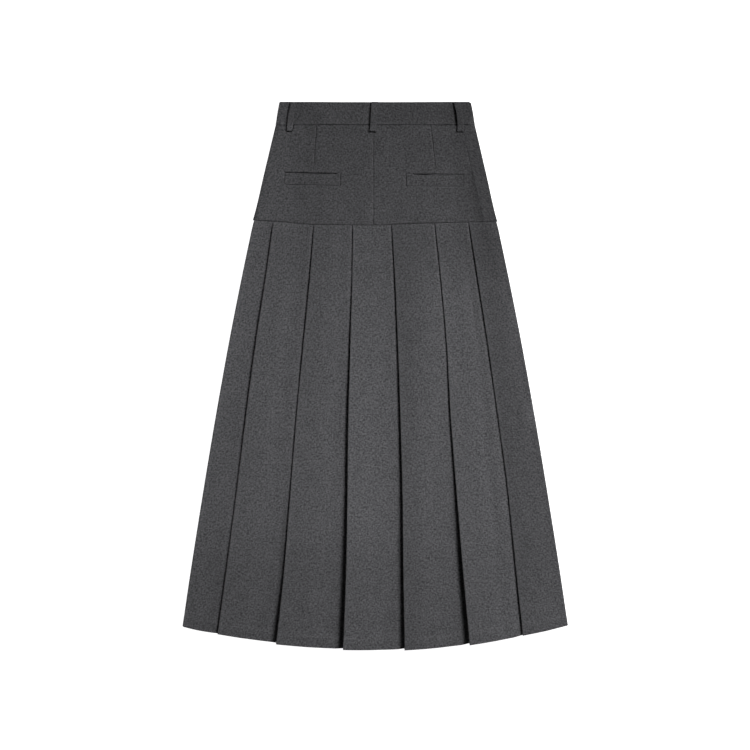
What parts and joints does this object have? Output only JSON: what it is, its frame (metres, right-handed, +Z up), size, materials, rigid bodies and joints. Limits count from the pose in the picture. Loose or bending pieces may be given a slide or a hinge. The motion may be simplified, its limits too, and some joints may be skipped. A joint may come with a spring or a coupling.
{
  "type": "pleated maxi skirt",
  "caption": "Long flared skirt lying flat, back up: fitted yoke with darts and welt pockets, waistband with belt loops, and knife pleats from hip to ankle.",
  "frame": {"origin": "middle of the underside of the skirt as it lies flat: half way across, half way from the waistband's top edge to the hem's lowest point, on the surface it lies on", "axes": "+Y from the hem to the waist, +Z up, away from the surface and out of the back of the skirt, +X to the wearer's right"},
  "size_m": [0.6928, 0.9862, 0.0196],
  "materials": {
    "suiting": "charcoal heathered suiting, matt, with a fine light and dark fleck",
    "zip_tape": "black woven tape with a closed coil chain",
    "trim_metal": "dull pressed steel"
  },
  "bodies": {
    "root": {"waistband": "suiting", "yoke_back_left": "suiting", "yoke_back_right": "suiting", "yoke_front_left": "suiting", "yoke_front_right": "suiting", "pleats_back": "suiting", "pleats_front": "suiting", "welt_left": "suiting", "welt_right": "suiting", "belt_loop_back_left": "suiting", "belt_loop_back_centre": "suiting", "belt_loop_back_right": "suiting", "belt_loop_front_left": "suiting", "belt_loop_front_right": "suiting", "fly_zip": "zip_tape", "fly_zip_slider": "trim_metal", "waist_hook": "trim_metal", "waist_bar": "trim_metal"}
  },
  "joints": []
}
